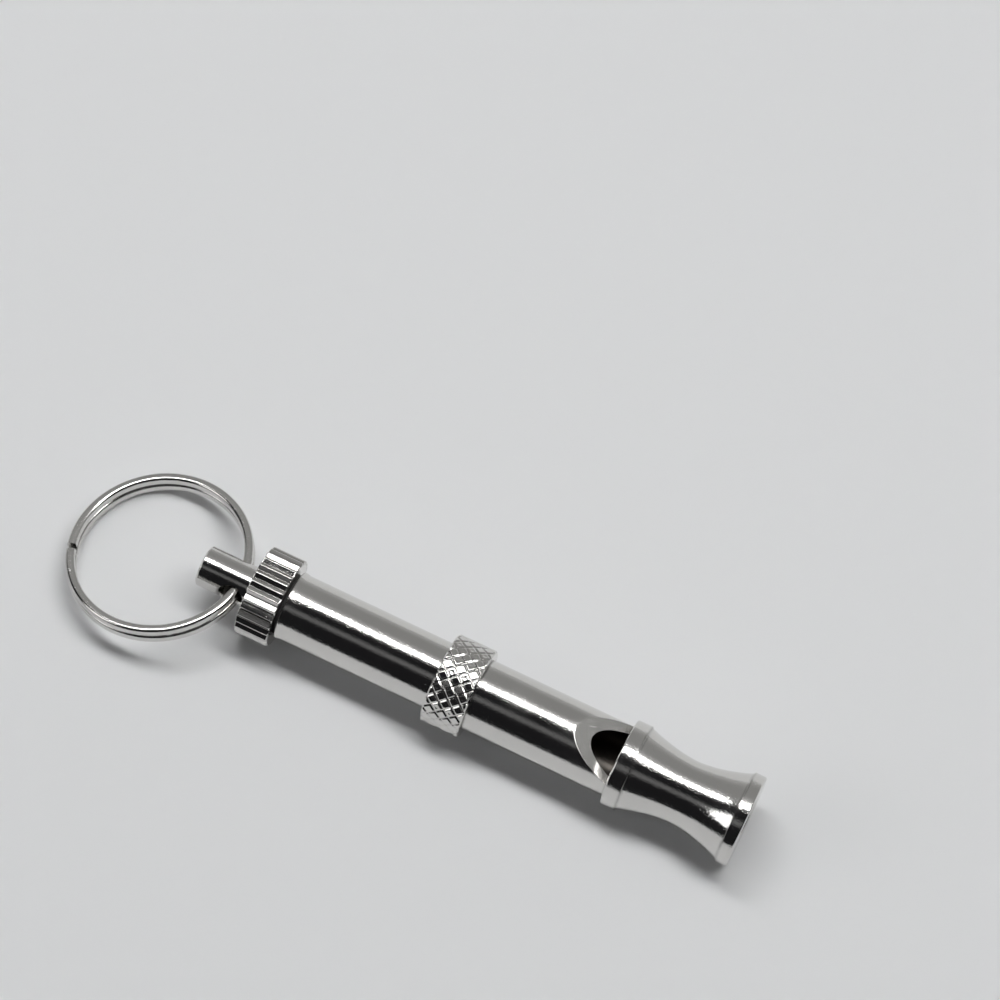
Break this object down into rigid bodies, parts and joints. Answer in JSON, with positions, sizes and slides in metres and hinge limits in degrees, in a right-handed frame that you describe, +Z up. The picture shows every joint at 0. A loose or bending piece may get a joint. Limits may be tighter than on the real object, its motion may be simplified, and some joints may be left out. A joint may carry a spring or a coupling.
{
  "type": "training whistle",
  "caption": "Slim plated metal whistle with a flared mouthpiece, slanted sound window, knurled collar, tuning screw with lock nut and a split ring.",
  "frame": {"origin": "centre of the mouth face, on the axis of the whistle", "axes": "+X along the whistle out of the mouth, +Z up out of the sound window, +Y across; the whistle lies on its side"},
  "size_m": [0.0988, 0.0255, 0.013],
  "materials": {
    "plated_brass": "polished nickel plate",
    "ring_steel": "polished nickel plate",
    "bare_brass": "turned",
    "seal_rubber": "matte",
    "washer_fibre": "matte"
  },
  "bodies": {
    "barrel": {"mouthpiece": "plated_brass", "fipple_plug": "bare_brass", "front_tube": "plated_brass", "knurled_collar": "plated_brass", "rear_tube": "plated_brass", "end_bush": "plated_brass"},
    "piston": {"piston": "bare_brass", "piston_seal": "seal_rubber"},
    "screw": {"tuning_screw": "plated_brass"},
    "washer": {"lock_washer": "washer_fibre"},
    "nut": {"lock_nut": "plated_brass"},
    "ring": {"split_ring": "ring_steel"}
  },
  "joints": [
    {"name": "piston_travel", "type": "slide", "parent": "barrel", "child": "piston", "axis": [1, 0, 0], "range_m": [-0.012, 0]},
    {"name": "tuning_turn", "type": "hinge", "parent": "piston", "child": "screw", "pos_m": [-0.035, 0, 0], "axis": [1, 0, 0], "range_deg": [-5400, 0]},
    {"name": "washer_travel", "type": "slide", "parent": "screw", "child": "washer", "axis": [1, 0, 0], "range_m": [-0.0006, 0]},
    {"name": "nut_turn", "type": "hinge", "parent": "washer", "child": "nut", "pos_m": [-0.07, 0, 0], "axis": [1, 0, 0], "range_deg": [-270, 0]},
    {"name": "ring_swing", "type": "hinge", "parent": "screw", "child": "ring", "pos_m": [-0.0748, 0, 0], "axis": [0, 0.9945, -0.1045], "range_deg": [-82, 103]}
  ],
  "couplings": [
    {"joint": "tuning_turn", "follows": "piston_travel", "rad_per_m": 7854},
    {"joint": "nut_turn", "follows": "washer_travel", "rad_per_m": 7854}
  ]
}
